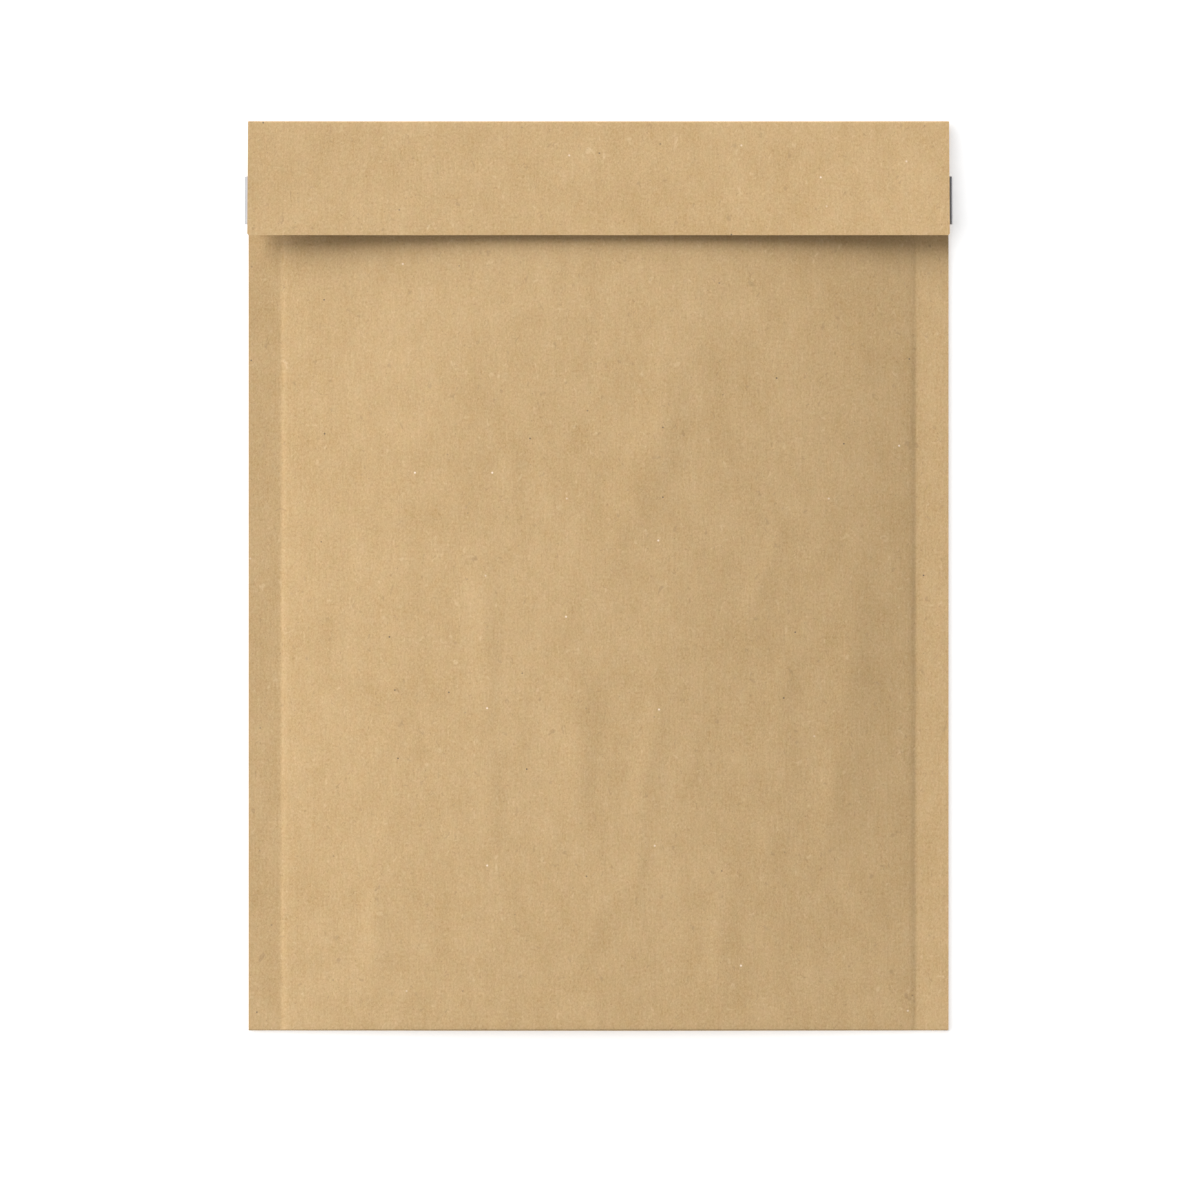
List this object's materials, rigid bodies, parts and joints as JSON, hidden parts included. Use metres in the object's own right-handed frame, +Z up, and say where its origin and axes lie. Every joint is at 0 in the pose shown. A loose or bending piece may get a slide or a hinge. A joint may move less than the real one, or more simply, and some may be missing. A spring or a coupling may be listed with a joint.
{
  "type": "padded envelope",
  "caption": "Kraft paper mailer lined with bubble film, lying flat with flat welded side seams and its self-seal flap folded over the mouth, not yet stuck down.",
  "frame": {"origin": "under the middle of the envelope, on the surface that it lies on", "axes": "+X across the envelope, +Y towards the flap's fold, +Z up, out of the side that the flap folds over"},
  "size_m": [0.2904, 0.374, 0.0118],
  "materials": {
    "kraft_paper": "matt brown kraft, smooth, with faint fibres",
    "bubble_film": "clear glossy polythene bubble film",
    "hot_melt_adhesive": "tacky translucent pale amber",
    "release_paper": "smooth white siliconised paper, slight sheen"
  },
  "bodies": {
    "root": {"kraft_envelope": "kraft_paper", "bubble_lining": "bubble_film", "adhesive_strip": "hot_melt_adhesive", "release_liner": "release_paper"}
  },
  "joints": []
}
